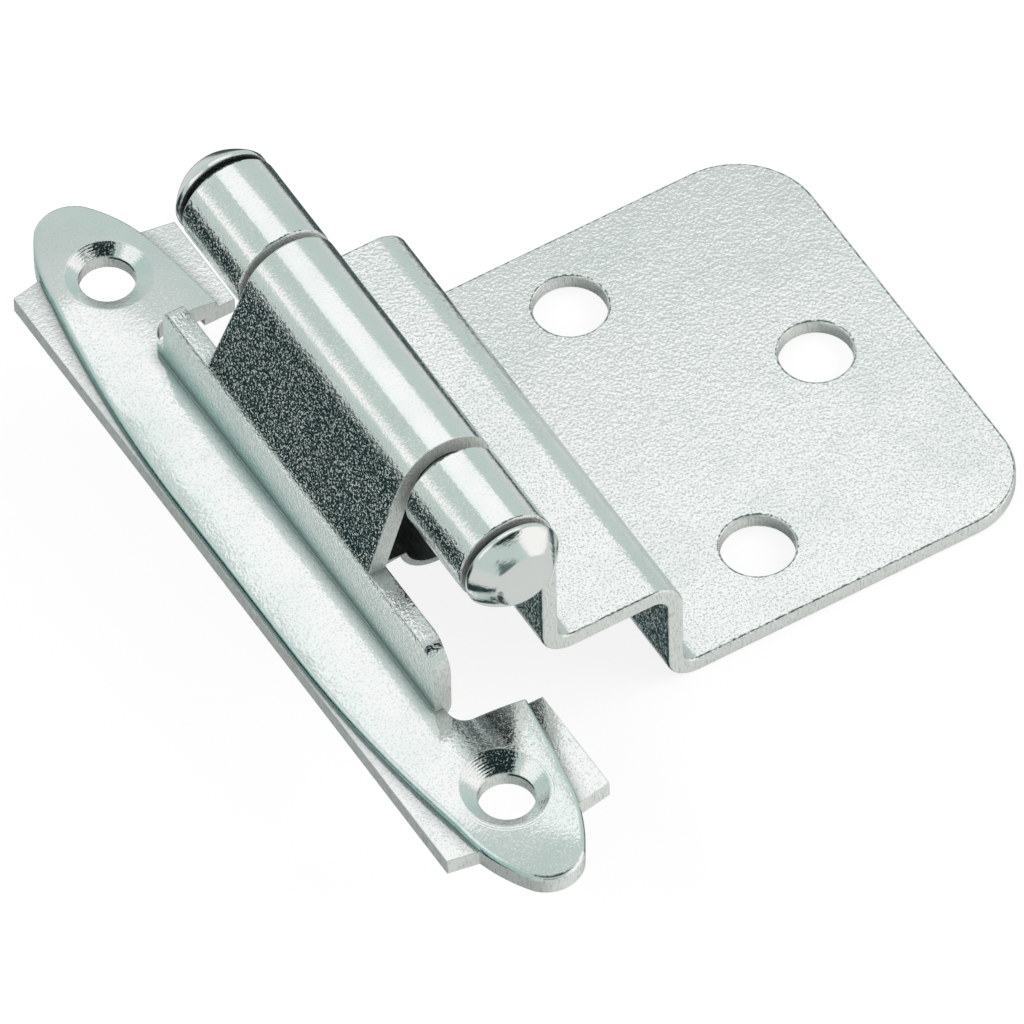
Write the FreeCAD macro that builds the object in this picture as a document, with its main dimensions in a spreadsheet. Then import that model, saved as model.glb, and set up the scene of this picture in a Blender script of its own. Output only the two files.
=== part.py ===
import FreeCAD, Part
import math
import os
import Sketcher

# Self-closing cabinet hinge for a 3/8 inch inset door, drawn closed.
# Frame of the part: the origin is midway between the two frame-screw holes,
# on the back of the frame wing. +Z leaves the cabinet frame, +Y runs along
# the pin and +X points to the door. All lengths are millimetres.

SIZES = {
    # sheet metal
    "sheet": 1.35,
    # pin and knuckles
    "pin_x": 5.87,
    "pin_z": 14.44,
    "pin_radius": 2.38,
    "pin_play": 0.07,
    "head_radius": 3.72,
    "head_groove": 0.45,
    "head_rim": 0.65,
    "head_dome": 1.35,
    "head_face": 2.3,
    "head_neck": 3.0,
    "head_edge": 0.4,
    "head_corner": 0.35,
    "head_slope": 0.25,
    "cam_flat": 1.75,
    "cam_near": -9.35,
    "cam_far": 11.5,
    "head_gap": 0.05,
    # frame wing: flange and raised lens
    "wing_shift": 0.2,
    "flange_shift": 0.2,
    "flange_width": 13.2,
    "flange_length": 59.0,
    "tab_slant": 0.55,
    "lens_length": 69.85,
    "lens_width": 12.5,
    "lens_straight": 15.4,
    "lens_hip": 4.45,
    "lens_hip_back": 7.325,
    "lens_brow": 2.15,
    "lens_brow_back": 1.025,
    "lens_flank": 13.0,
    "rim_round": 0.4,
    "crown": 1.5,
    "crown_cross": 22.4,
    "crown_run": 9.925,
    "crown_drop": 0.25,
    "crown_tip": 1.4,
    "crown_curl": 52.0,
    "recess_inset": 1.08,
    "recess_depth": 1.55,
    # frame wing: screw holes
    "screw_spacing": 54.3,
    "screw_hole": 4.1,
    "screw_sink": 7.0,
    "sink_below": 0.3,
    "sink_slope": 0.65,
    "seat_low": 0.42,
    "seat_wall": 0.85,
    # frame wing: neck and middle knuckle
    "wall_x": -0.8,
    "neck_angle": 67.1,
    "neck_bend": 4.4,
    "neck_foot": 1.4,
    "neck_near": 18.85,
    "neck_far": 17.95,
    "corner_near": 2.3,
    "corner_far": 0.9,
    "flat_near": -9.95,
    "flat_far": 11.85,
    "knuckle_near": -9.4,
    "knuckle_far": 11.55,
    "wrap_end": 60.0,
    "slot_near": 20.75,
    "slot_far": 21.05,
    "slot_root": -0.1,
    "slot_round": 1.3,
    # door leaf
    "leaf_shift": 1.08,
    "leaf_width": 37.65,
    "step_top": 2.25,
    "step_drop": 9.6,
    "upright_x": 9.95,
    "riser_x": 20.15,
    "plate_end": 49.95,
    "plate_corner_near": 5.6,
    "plate_corner_far": 6.35,
    "bend": 1.2,
    "roll_end": 68.0,
    "gap_near": -10.4,
    "gap_far": 12.15,
    "gap_floor": 4.6,
    "gap_corner": 1.0,
    # door leaf: screw holes
    "door_hole": 5.4,
    "door_row": 30.1,
    "door_spacing": 25.4,
    "door_third": 12.6,
    "door_shift": 0.3,
    # closing spring
    "strip": 0.5,
    "spring_near": -9.15,
    "spring_far": 11.3,
    "bow_radius": 2.6,
    "bow_x": 5.4,
    "bow_z": 8.2,
    "bow_lip": 0.85,
    "spring_foot": 0.04,
    "spring_rest": 0.05,
}


class Term:
    """A length that knows its number and the sheet formula that gives it."""

    def __init__(self, value, text):
        self.value = float(value)
        self.text = text

    @staticmethod
    def of(thing):
        if isinstance(thing, Term):
            return thing
        return Term(thing, repr(float(thing)))

    def __add__(self, other):
        other = Term.of(other)
        return Term(self.value + other.value, f"({self.text} + {other.text})")

    def __sub__(self, other):
        other = Term.of(other)
        return Term(self.value - other.value, f"({self.text} - {other.text})")

    def __mul__(self, other):
        other = Term.of(other)
        return Term(self.value * other.value, f"({self.text} * {other.text})")

    def __truediv__(self, other):
        other = Term.of(other)
        return Term(self.value / other.value, f"({self.text} / {other.text})")

    def __neg__(self):
        return Term(-self.value, f"(0 - {self.text})")

    __radd__ = __add__
    __rmul__ = __mul__

    def __rsub__(self, other):
        return Term.of(other) - self


def sine(angle):
    """Sine of an angle held in degrees."""
    return Term(math.sin(math.radians(angle.value)), f"sin({angle.text} * 1 deg)")


def cosine(angle):
    """Cosine of an angle held in degrees."""
    return Term(math.cos(math.radians(angle.value)), f"cos({angle.text} * 1 deg)")


def root(term):
    """Square root of a length squared."""
    return Term(math.sqrt(term.value), f"sqrt({term.text})")


document = FreeCAD.newDocument("cabinet_hinge")
sheet = document.addObject("Spreadsheet::Sheet", "Sizes")
for row, (name, value) in enumerate(SIZES.items(), start=1):
    sheet.set(f"A{row}", name)
    sheet.set(f"B{row}", str(value))
    sheet.setAlias(f"B{row}", name)
document.recompute()


def size(name):
    """A driving size from the sheet."""
    return Term(SIZES[name], f"Sizes.{name}")


def plane(body, role):
    """One of the body's own origin planes."""
    for feature in body.Origin.OriginFeatures:
        if feature.Role == role:
            return feature
    raise ValueError(role)


def new_body(name):
    """An empty body whose label names its file."""
    body = document.addObject("PartDesign::Body", name)
    body.Label = name
    return body


def bind(sketch, index, term):
    """Ties one sketch constraint to a formula of the sheet."""
    sketch.setExpression(f"Constraints[{index}]", term.text)


def pin_point(sketch, geometry, end, point):
    """Holds one end of a sketch line at a place given by two formulas."""
    across, up = (Term.of(value) for value in point)
    if abs(across.value) < 1e-9 and across.text == "0.0":
        sketch.addConstraint(Sketcher.Constraint("PointOnObject", geometry, end, -2))
    else:
        index = sketch.addConstraint(
            Sketcher.Constraint("DistanceX", -1, 1, geometry, end, across.value))
        bind(sketch, index, across)
    if abs(up.value) < 1e-9 and up.text == "0.0":
        sketch.addConstraint(Sketcher.Constraint("PointOnObject", geometry, end, -1))
    else:
        index = sketch.addConstraint(
            Sketcher.Constraint("DistanceY", -1, 1, geometry, end, up.value))
        bind(sketch, index, up)


def new_sketch(body, name, role, offset=None):
    """A sketch on one of the body's origin planes, moved along its normal."""
    sketch = body.newObject("Sketcher::SketchObject", name)
    sketch.AttachmentSupport = [(plane(body, role), "")]
    sketch.MapMode = "FlatFace"
    if offset is not None:
        sketch.AttachmentOffset = FreeCAD.Placement(
            FreeCAD.Vector(0, 0, offset.value), FreeCAD.Rotation())
        sketch.setExpression("AttachmentOffset.Base.z", offset.text)
    return sketch


def arc_geometry(first, last, radius, turn):
    """Arc from first to last; turn is +1 when it runs counter-clockwise."""
    a = FreeCAD.Vector(first[0], first[1], 0)
    b = FreeCAD.Vector(last[0], last[1], 0)
    chord = b - a
    half = chord.Length / 2
    rise = math.sqrt(max(radius * radius - half * half, 0.0))
    side = FreeCAD.Vector(-chord.y, chord.x, 0).normalize()
    centre = (a + b) * 0.5 + side * (rise * turn)
    start = math.atan2(a.y - centre.y, a.x - centre.x)
    end = math.atan2(b.y - centre.y, b.x - centre.x)
    if turn < 0:
        start, end = end, start
    circle = Part.Circle(centre, FreeCAD.Vector(0, 0, 1), radius)
    return Part.ArcOfCircle(circle, start, end)


def outline(sketch, steps):
    """Closed outline: each step is (point, None) or (point, (radius, turn)).

    The second entry tells how the outline leaves the point: straight, or
    along an arc of that radius.
    """
    count = len(steps)
    ends = []
    for number, (point, leave) in enumerate(steps):
        here = [Term.of(value).value for value in point]
        there = [Term.of(value).value for value in steps[(number + 1) % count][0]]
        if leave is None:
            line = Part.LineSegment(FreeCAD.Vector(*here, 0), FreeCAD.Vector(*there, 0))
            ends.append((sketch.addGeometry(line, False), 1, 2))
            continue
        radius, turn = Term.of(leave[0]), leave[1]
        index = sketch.addGeometry(arc_geometry(here, there, radius.value, turn), False)
        ends.append((index, 1, 2) if turn > 0 else (index, 2, 1))
    for number, (geometry, _, last) in enumerate(ends):
        following, first, _ = ends[(number + 1) % count]
        sketch.addConstraint(
            Sketcher.Constraint("Coincident", geometry, last, following, first))
    for number, (point, leave) in enumerate(steps):
        geometry, first, _ = ends[number]
        pin_point(sketch, geometry, first, point)
        if leave is not None:
            radius = Term.of(leave[0])
            index = sketch.addConstraint(
                Sketcher.Constraint("Radius", geometry, radius.value))
            bind(sketch, index, radius)
    return sketch


def circle(sketch, centre, diameter):
    """A circle at a place given by two formulas."""
    across, up = (Term.of(value) for value in centre)
    middle = FreeCAD.Vector(across.value, up.value, 0)
    shape = Part.Circle(middle, FreeCAD.Vector(0, 0, 1), diameter.value / 2)
    index = sketch.addGeometry(shape, False)
    pin_point(sketch, index, 3, centre)
    number = sketch.addConstraint(Sketcher.Constraint("Diameter", index, diameter.value))
    bind(sketch, number, diameter)


def pad(body, sketch, length, symmetric=False):
    """Material pushed out of a sketch."""
    feature = body.newObject("PartDesign::Pad", f"{sketch.Name}_pad")
    feature.Profile = sketch
    feature.Length = length.value
    feature.setExpression("Length", length.text)
    if symmetric:
        feature.SideType = "Symmetric"
    return feature


def pocket(body, sketch):
    """Material removed along both directions of a sketch's normal."""
    feature = body.newObject("PartDesign::Pocket", f"{sketch.Name}_pocket")
    feature.Profile = sketch
    feature.Type = "Length"
    feature.Length = THROUGH
    feature.SideType = "Symmetric"
    return feature


def turned(body, sketch, kind, axis):
    """A full turn of a sketch about one of its own lines."""
    feature = body.newObject(f"PartDesign::{kind}", f"{sketch.Name}_turned")
    feature.Profile = sketch
    feature.ReferenceAxis = (sketch, [axis])
    feature.Angle = 360.0
    return feature


def edges_where(shape, test):
    """Names of the edges whose middle passes the test."""
    names = []
    for number, edge in enumerate(shape.Edges, start=1):
        middle = edge.valueAt((edge.FirstParameter + edge.LastParameter) / 2)
        if test(edge, middle):
            names.append(f"Edge{number}")
    return names


def soften(body, name, radius, test):
    """Rounds the chosen edges of the body's last feature."""
    document.recompute()
    base = body.Tip
    names = edges_where(base.Shape, test)
    if not names:
        return None
    feature = body.newObject("PartDesign::Fillet", name)
    feature.Base = (base, names)
    feature.Radius = radius.value
    feature.setExpression("Radius", radius.text)
    document.recompute()
    return feature


THICK = size("sheet")
PIN_X = size("pin_x")
PIN_Z = size("pin_z")
INNER = size("pin_radius") + size("pin_play")
OUTER = INNER + THICK

# How far the lens's corner points move along when its outline is drawn in by 1 mm.
HIP_DRAW = 0.1
BROW_DRAW_X = 0.75
BROW_DRAW_Y = 0.65

# Sizes of the tools that cut, which only have to reach past the metal.
PAST = 1
TOOL_PAST = 10
TOOL_RISE = 6
TOOL_TOP = 12
TOOL_DROP = 0.15
THROUGH = 160.0

# What tells the rim of the lens from its other edges.
RIM_LOWEST = 0.5
RIM_RISE = 1.4
RIM_ASIDE = 0.02


def lens_steps(inset):
    """Outline of the raised lens, drawn in from its edge by inset."""
    half = size("lens_length") / 2 - inset
    side = size("lens_width") / 2 - inset
    middle = size("lens_straight") / 2
    whole = size("lens_length") / 2
    hip = (size("lens_hip") - inset, whole - size("lens_hip_back") - inset * HIP_DRAW)
    brow = (size("lens_brow") - inset * BROW_DRAW_X,
            whole - size("lens_brow_back") - inset * BROW_DRAW_Y)
    sag = side - hip[0]
    run = hip[1] - middle
    bow = (run * run + sag * sag) / (sag * 2)
    flank = size("lens_flank") - inset
    rise = half - brow[1]
    nose = (brow[0] * brow[0] + rise * rise) / (rise * 2)
    return [
        ((brow[0], -brow[1]), (flank, 1)),
        ((hip[0], -hip[1]), (bow, 1)),
        ((side, -middle), None),
        ((side, middle), (bow, 1)),
        (hip, (flank, 1)),
        (brow, (nose, 1)),
        ((0, half), (nose, 1)),
        ((-brow[0], brow[1]), (flank, 1)),
        ((-hip[0], hip[1]), (bow, 1)),
        ((-side, middle), None),
        ((-side, -middle), (bow, 1)),
        ((-hip[0], -hip[1]), (flank, 1)),
        ((-brow[0], -brow[1]), (nose, 1)),
        ((0, -half), (nose, 1)),
    ]


def is_rim(edge, middle):
    """True for an edge where the crowned top meets the lens's side wall."""
    low = min(vertex.Point.z for vertex in edge.Vertexes)
    high = max(vertex.Point.z for vertex in edge.Vertexes)
    return low > RIM_LOWEST and high - low < RIM_RISE and abs(middle.x) > RIM_ASIDE


def crowned(name, inset, top, rounding=None):
    """A lens-shaped block whose top is crowned both ways."""
    body = new_body(name)
    shift = size("wing_shift")
    base = new_sketch(body, f"{name}_outline", "XY_Plane")
    outline(base, lens_steps(inset))
    pad(body, base, size("crown") + TOOL_RISE)
    half = size("lens_length") / 2
    flat = half - size("crown_run")
    drop = size("crown_drop")
    long_radius = (flat * flat + drop * drop) / (drop * 2)
    above = size("crown") + TOOL_TOP
    curl = size("crown_curl")
    cutter = new_sketch(body, f"{name}_crown", "YZ_Plane")
    outline(cutter, [
        ((-half - PAST, top - size("crown_tip") - TOOL_DROP), None),
        ((-half, top - size("crown_tip")), (curl, -1)),
        ((-flat, top - drop), (long_radius, -1)),
        ((flat, top - drop), (curl, -1)),
        ((half, top - size("crown_tip")), None),
        ((half + PAST, top - size("crown_tip") - TOOL_DROP), None),
        ((half + PAST, above), None),
        ((-half - PAST, above), None),
    ])
    axis = Part.LineSegment(FreeCAD.Vector(-half.value, top.value - size("crown_cross").value, 0),
                            FreeCAD.Vector(half.value, top.value - size("crown_cross").value, 0))
    index = cutter.addGeometry(axis, True)
    pin_point(cutter, index, 1, (-half, top - size("crown_cross")))
    pin_point(cutter, index, 2, (half, top - size("crown_cross")))
    turned(body, cutter, "Groove", "Axis0")
    if rounding is not None:
        soften(body, f"{name}_rim", rounding, is_rim)
    document.recompute()
    body.Placement = FreeCAD.Placement(FreeCAD.Vector(0, -shift.value, 0), FreeCAD.Rotation())
    body.setExpression("Placement.Base.y", (-shift).text)
    document.recompute()
    return body


def build_wing():
    """Frame wing: flange, raised lens, neck and middle knuckle."""
    top = THICK + size("crown")
    dome = crowned("wing_lens_form", Term(0.0, "0.0"), top, size("rim_round"))
    recess = crowned("wing_hollow_form", size("recess_inset"), top - size("recess_depth"))
    body = new_body("frame_wing")

    flange = new_sketch(body, "flange_outline", "XY_Plane")
    edge = size("flange_width") / 2
    corner = size("flange_length") / 2
    hip = size("lens_hip") - PAST
    lower = corner + size("wing_shift")
    upper = corner - size("wing_shift")
    left = edge - size("flange_shift")
    right = edge + size("flange_shift")
    slant = size("tab_slant")
    outline(flange, [
        ((right, -lower), None),
        ((right, upper), None),
        ((hip, upper + slant), None),
        ((-hip, upper + slant), None),
        ((-left, upper), None),
        ((-left, -lower), None),
        ((-hip, -lower - slant), None),
        ((hip, -lower - slant), None),
    ])
    pad(body, flange, THICK)
    for tool, kind in ((dome, "Fuse"), (recess, "Cut")):
        joined = body.newObject("PartDesign::Boolean", f"{tool.Name}_{kind.lower()}")
        joined.setObjects([tool])
        joined.Type = kind
        document.recompute()

    row = size("screw_spacing") / 2
    seats = new_sketch(body, "screw_seats", "XY_Plane", size("seat_low"))
    ring = size("screw_hole") + size("seat_wall") * 2
    circle(seats, (0, -row), ring)
    circle(seats, (0, row), ring)
    pad(body, seats, THICK)

    notch = new_sketch(body, "neck_notch", "XY_Plane")
    far = size("flange_width")
    wall = size("wall_x")
    near_end = size("neck_near")
    far_end = size("neck_far")
    slot_near = size("slot_near")
    slot_far = size("slot_far")
    slot_root = size("slot_root")
    end = size("slot_round")
    outline(notch, [
        ((far, -slot_near), None),
        ((far, slot_far), None),
        ((slot_root + end, slot_far), (end, 1)),
        ((slot_root, slot_far - end), None),
        ((wall + THICK * 0.5, far_end), None),
        ((wall + THICK * 0.5, -near_end), None),
        ((slot_root, end - slot_near), (end, 1)),
        ((slot_root + end, -slot_near), None),
    ])
    pocket(body, notch)

    neck = new_sketch(body, "neck_section", "XZ_Plane")
    angle = size("neck_angle")
    slope = sine(angle) / cosine(angle)
    touch_x = PIN_X - OUTER * sine(angle)
    touch_z = PIN_Z + OUTER * cosine(angle)
    under_x = PIN_X - INNER * sine(angle)
    under_z = PIN_Z + INNER * cosine(angle)
    bend_z = touch_z - (touch_x - wall) * slope
    inner_z = under_z - (under_x - wall - THICK) * slope
    foot = size("neck_foot")
    end = size("wrap_end")
    outer_bend = size("neck_bend")
    inner_bend = outer_bend - THICK
    half_turn = (Term(90.0, "90.0") - angle) / 2
    outer_run = outer_bend * sine(half_turn) / cosine(half_turn)
    inner_run = inner_bend * sine(half_turn) / cosine(half_turn)
    outline(neck, [
        ((wall, foot), (THICK, 1)),
        ((wall + THICK, foot + THICK), None),
        ((wall + THICK, inner_z - inner_run), (inner_bend, -1)),
        ((wall + THICK + inner_run * cosine(angle), inner_z + inner_run * sine(angle)), None),
        ((under_x, under_z), (INNER, -1)),
        ((PIN_X, PIN_Z + INNER), (INNER, -1)),
        ((PIN_X + INNER, PIN_Z), (INNER, -1)),
        ((PIN_X + INNER * cosine(end), PIN_Z - INNER * sine(end)), None),
        ((PIN_X + OUTER * cosine(end), PIN_Z - OUTER * sine(end)), (OUTER, 1)),
        ((PIN_X + OUTER, PIN_Z), (OUTER, 1)),
        ((PIN_X, PIN_Z + OUTER), (OUTER, 1)),
        ((touch_x, touch_z), None),
        ((wall + outer_run * cosine(angle), bend_z + outer_run * sine(angle)), (outer_bend, 1)),
        ((wall, bend_z - outer_run), None),
    ])
    pad(body, neck, near_end * 2, symmetric=True)

    lip = bend_z
    reach = size("lens_length")
    high = PIN_Z + OUTER * 3
    for side, sign, base_y, top_y, half, round_ in (
            ("near", -1, size("flat_near"), size("knuckle_near"), near_end, size("corner_near")),
            ("far", 1, size("flat_far"), size("knuckle_far"), far_end, size("corner_far"))):
        trim = new_sketch(body, f"neck_trim_{side}", "YZ_Plane")
        outline(trim, [
            ((reach * sign, high), None),
            ((top_y, high), None),
            ((top_y, PIN_Z), None),
            ((base_y, lip), None),
            (((half - round_) * sign, lip), (round_, -sign)),
            ((half * sign, lip - round_), None),
            ((half * sign, THICK + size("crown") + PAST), None),
            ((reach * sign, THICK + size("crown") + PAST), None),
        ])
        pocket(body, trim)

    holes = new_sketch(body, "frame_screw_holes", "XY_Plane")
    circle(holes, (0, -row), size("screw_hole"))
    circle(holes, (0, row), size("screw_hole"))
    pocket(body, holes)
    for side, sign in (("near", -1), ("far", 1)):
        sink = new_sketch(body, f"countersink_{side}", "YZ_Plane")
        slope = size("sink_slope")
        rim = THICK + size("crown") - size("sink_below")
        wide = size("screw_sink") / 2
        small = size("screw_hole") / 2
        depth = (wide - small) * slope
        rise = THICK
        outer = wide + rise / slope
        outline(sink, [
            ((row * sign, rim - depth), None),
            ((row * sign + small * sign, rim - depth), None),
            ((row * sign + wide * sign, rim), None),
            ((row * sign + outer * sign, rim + rise), None),
            ((row * sign, rim + rise), None),
        ])
        turned(body, sink, "Groove", "Edge5")
    document.recompute()
    return body


def build_leaf():
    """Door leaf: plate, step and the two end knuckles."""
    body = new_body("door_leaf")
    section = new_sketch(body, "leaf_section", "XZ_Plane")
    right = size("upright_x")
    left = right - THICK
    join = PIN_Z - OUTER
    top = size("step_top")
    bottom = top - THICK
    plate_top = top - size("step_drop")
    plate_bottom = plate_top - THICK
    riser = size("riser_x")
    riser_in = riser - THICK
    bend = size("bend")
    out = bend + THICK
    end = size("roll_end")
    outline(section, [
        ((size("plate_end"), plate_bottom), None),
        ((size("plate_end"), plate_top), None),
        ((riser + bend, plate_top), (bend, -1)),
        ((riser, plate_top + bend), None),
        ((riser, top - out), (out, 1)),
        ((riser - out, top), None),
        ((right + bend, top), (bend, -1)),
        ((right, top + bend), None),
        ((right, join), None),
        ((PIN_X + OUTER, PIN_Z), (OUTER, 1)),
        ((PIN_X, PIN_Z + OUTER), (OUTER, 1)),
        ((PIN_X - OUTER, PIN_Z), (OUTER, 1)),
        ((PIN_X, PIN_Z - OUTER), (OUTER, 1)),
        ((PIN_X + OUTER * cosine(end), PIN_Z - OUTER * sine(end)), None),
        ((PIN_X + INNER * cosine(end), PIN_Z - INNER * sine(end)), (INNER, -1)),
        ((PIN_X, PIN_Z - INNER), (INNER, -1)),
        ((PIN_X - INNER, PIN_Z), (INNER, -1)),
        ((PIN_X, PIN_Z + INNER), (INNER, -1)),
        ((PIN_X + INNER, PIN_Z), None),
        ((left, join), None),
        ((left, bottom + out), (out, 1)),
        ((left + out, bottom), None),
        ((riser_in - bend, bottom), (bend, -1)),
        ((riser_in, bottom - bend), None),
        ((riser_in, plate_bottom + out), (out, 1)),
        ((riser_in + out, plate_bottom), None),
    ])
    pad(body, section, size("leaf_width"), symmetric=True)

    corners = new_sketch(body, "plate_corners", "XY_Plane")
    half = size("leaf_width") / 2
    last = size("plate_end")
    past = last + TOOL_PAST
    wide = half + TOOL_PAST
    for sign, corner in ((-1, size("plate_corner_near")), (1, size("plate_corner_far"))):
        steps = [
            ((last, (half - corner) * sign), (corner, sign)),
            ((last - corner, half * sign), None),
            ((last - corner, wide * sign), None),
            ((past, wide * sign), None),
            ((past, (half - corner) * sign), None),
        ]
        sketch = corners if sign < 0 else new_sketch(body, "plate_corner_far", "XY_Plane")
        outline(sketch, steps)
        pocket(body, sketch)

    gap = new_sketch(body, "knuckle_gap", "YZ_Plane")
    shift = size("leaf_shift")
    near = size("gap_near") - shift
    far = size("gap_far") - shift
    floor = size("gap_floor")
    high = PIN_Z + OUTER * 2
    round_ = size("gap_corner")
    outline(gap, [
        ((near + round_, floor), None),
        ((far - round_, floor), (round_, 1)),
        ((far, floor + round_), None),
        ((far, high), None),
        ((near, high), None),
        ((near, floor + round_), (round_, 1)),
    ])
    pocket(body, gap)

    holes = new_sketch(body, "door_screw_holes", "XY_Plane")
    row = size("door_row")
    spread = size("door_spacing") / 2
    aside = size("door_shift")
    circle(holes, (row, aside - spread), size("door_hole"))
    circle(holes, (row, aside + spread), size("door_hole"))
    circle(holes, (row + size("door_third"), aside), size("door_hole"))
    pocket(body, holes)
    document.recompute()
    body.Placement = FreeCAD.Placement(FreeCAD.Vector(0, shift.value, 0), FreeCAD.Rotation())
    body.setExpression("Placement.Base.y", shift.text)
    document.recompute()
    return body


def build_pin():
    """Pin with a cam flat in the middle and a formed head at each end."""
    body = new_body("hinge_pin")
    profile = new_sketch(body, "pin_profile", "YZ_Plane")
    half = size("leaf_width") / 2
    radius = size("pin_radius")
    neck = size("head_neck")
    head = size("head_radius")
    face = size("head_face")
    groove = half + size("head_groove")
    rim = groove + size("head_rim")
    end = rim + size("head_dome")
    play = size("head_gap")
    edge = size("head_edge")
    corner = face - size("head_corner")
    slope = size("head_slope")
    outline(profile, [
        ((-end, 0), None),
        ((-end, corner), (edge, -1)),
        ((-end + slope, face), None),
        ((-rim, head), None),
        ((-groove, head), None),
        ((-groove, neck), None),
        ((-half - play, neck), None),
        ((-half - play, radius), None),
        ((half + play, radius), None),
        ((half + play, neck), None),
        ((groove, neck), None),
        ((groove, head), None),
        ((rim, head), None),
        ((end - slope, face), (edge, -1)),
        ((end, corner), None),
        ((end, 0), None),
    ])
    turned(body, profile, "Revolution", "H_Axis")

    flat = new_sketch(body, "cam_flat_cut", "YZ_Plane")
    shift = size("leaf_shift")
    outline(flat, [
        ((size("cam_near") - shift, -radius * 2), None),
        ((size("cam_far") - shift, -radius * 2), None),
        ((size("cam_far") - shift, -size("cam_flat")), None),
        ((size("cam_near") - shift, -size("cam_flat")), None),
    ])
    pocket(body, flat)
    document.recompute()
    body.Placement = FreeCAD.Placement(
        FreeCAD.Vector(PIN_X.value, shift.value, PIN_Z.value), FreeCAD.Rotation())
    body.setExpression("Placement.Base.x", PIN_X.text)
    body.setExpression("Placement.Base.y", shift.text)
    body.setExpression("Placement.Base.z", PIN_Z.text)
    document.recompute()
    return body


def build_spring():
    """Bowed strip under the pin: it pushes up on the cam flat."""
    body = new_body("closing_spring")
    section = new_sketch(body, "spring_section", "XZ_Plane")
    strip = size("strip")
    inner = size("bow_radius")
    outer = inner + strip
    cx = size("bow_x")
    cz = size("bow_z")
    wall = size("wall_x") + THICK + size("spring_foot")
    low = size("bow_lip")
    high = low - strip
    lean = Term(math.sqrt(0.5), "sqrt(0.5)")
    press = PIN_Z - size("cam_flat") - size("spring_rest")
    tip_x = cx + cz + outer * lean * 2 - press
    outline(section, [
        ((wall, cz - low), None),
        ((cx - root(outer * outer - low * low), cz - low), (outer, 1)),
        ((cx, cz - outer), (outer, 1)),
        ((cx + outer, cz), (outer, 1)),
        ((cx + outer * lean, cz + outer * lean), None),
        ((tip_x, press), None),
        ((tip_x - strip * lean, press - strip * lean), None),
        ((cx + inner * lean, cz + inner * lean), (inner, -1)),
        ((cx + inner, cz), (inner, -1)),
        ((cx, cz - inner), (inner, -1)),
        ((cx - root(inner * inner - high * high), cz - high), None),
        ((wall, cz - high), None),
    ])
    near = size("spring_near")
    far = size("spring_far")
    pad(body, section, far - near, symmetric=True)
    middle = (near + far) / 2
    document.recompute()
    body.Placement = FreeCAD.Placement(FreeCAD.Vector(0, middle.value, 0), FreeCAD.Rotation())
    body.setExpression("Placement.Base.y", middle.text)
    document.recompute()
    return body


def check(pieces):
    """Stops when any object failed or a piece has no sound shape."""
    document.recompute()
    for thing in document.Objects:
        if "Invalid" in thing.State or "Error" in thing.State:
            raise RuntimeError(f"{thing.Label} failed: {thing.State}")
    for piece in pieces:
        shape = piece.Shape
        if shape.isNull() or not shape.isValid() or not shape.Solids:
            raise RuntimeError(f"{piece.Label} has no sound shape")


def main():
    """Builds every piece, checks them and writes one file each."""
    pieces = [build_wing(), build_leaf(), build_pin(), build_spring()]
    check(pieces)
    os.makedirs("parts", exist_ok=True)
    for piece in pieces:
        piece.Shape.exportStep(f"parts/{piece.Label}.step")
        box = piece.Shape.BoundBox
        print(piece.Label, len(piece.Shape.Solids), round(piece.Shape.Volume, 1),
              [round(value, 2) for value in
               (box.XMin, box.XMax, box.YMin, box.YMax, box.ZMin, box.ZMax)])


main()
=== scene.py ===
import logging
import math
from dataclasses import dataclass, field
from enum import Enum
from typing import NamedTuple, Optional, Union

import bmesh
import bpy
from mathutils import Matrix, Vector


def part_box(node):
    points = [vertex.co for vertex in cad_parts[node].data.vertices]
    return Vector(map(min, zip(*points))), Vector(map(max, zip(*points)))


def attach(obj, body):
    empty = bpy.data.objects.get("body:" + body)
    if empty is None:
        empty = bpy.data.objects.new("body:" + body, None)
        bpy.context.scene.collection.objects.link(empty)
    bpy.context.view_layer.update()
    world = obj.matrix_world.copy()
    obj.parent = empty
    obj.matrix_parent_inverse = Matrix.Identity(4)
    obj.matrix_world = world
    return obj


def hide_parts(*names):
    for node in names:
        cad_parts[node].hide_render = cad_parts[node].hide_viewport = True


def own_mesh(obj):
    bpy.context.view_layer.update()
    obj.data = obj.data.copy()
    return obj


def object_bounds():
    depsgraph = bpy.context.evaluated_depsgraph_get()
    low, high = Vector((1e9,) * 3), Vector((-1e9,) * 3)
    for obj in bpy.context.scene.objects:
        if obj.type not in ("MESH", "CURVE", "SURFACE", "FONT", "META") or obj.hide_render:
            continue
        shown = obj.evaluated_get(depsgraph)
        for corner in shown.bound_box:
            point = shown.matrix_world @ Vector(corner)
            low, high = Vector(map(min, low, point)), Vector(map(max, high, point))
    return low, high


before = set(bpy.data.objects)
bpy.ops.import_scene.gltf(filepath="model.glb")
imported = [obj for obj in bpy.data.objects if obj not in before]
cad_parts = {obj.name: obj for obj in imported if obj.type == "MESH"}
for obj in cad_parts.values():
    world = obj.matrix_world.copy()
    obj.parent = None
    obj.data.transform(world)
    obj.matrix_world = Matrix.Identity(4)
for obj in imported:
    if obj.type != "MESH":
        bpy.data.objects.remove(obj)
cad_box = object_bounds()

MM = 0.001
EDGE_SAMPLES = 3
CORNER_SAMPLES = 2
Colour = tuple[float, float, float]
Point = tuple[float, float, float]
Socket = bpy.types.NodeSocket
Value = Union[Socket, float]
Shade = Union[Socket, Colour]
log = logging.getLogger("hinge")


class Cut(Enum):
    """Where a sheet-metal piece shows its sheared edges."""

    LEAF = "leaf"
    WING = "wing"


class Span(NamedTuple):
    """Two values that a ramp climbs between."""

    low: float
    high: float


WHOLE = Span(0.0, 1.0)


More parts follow.
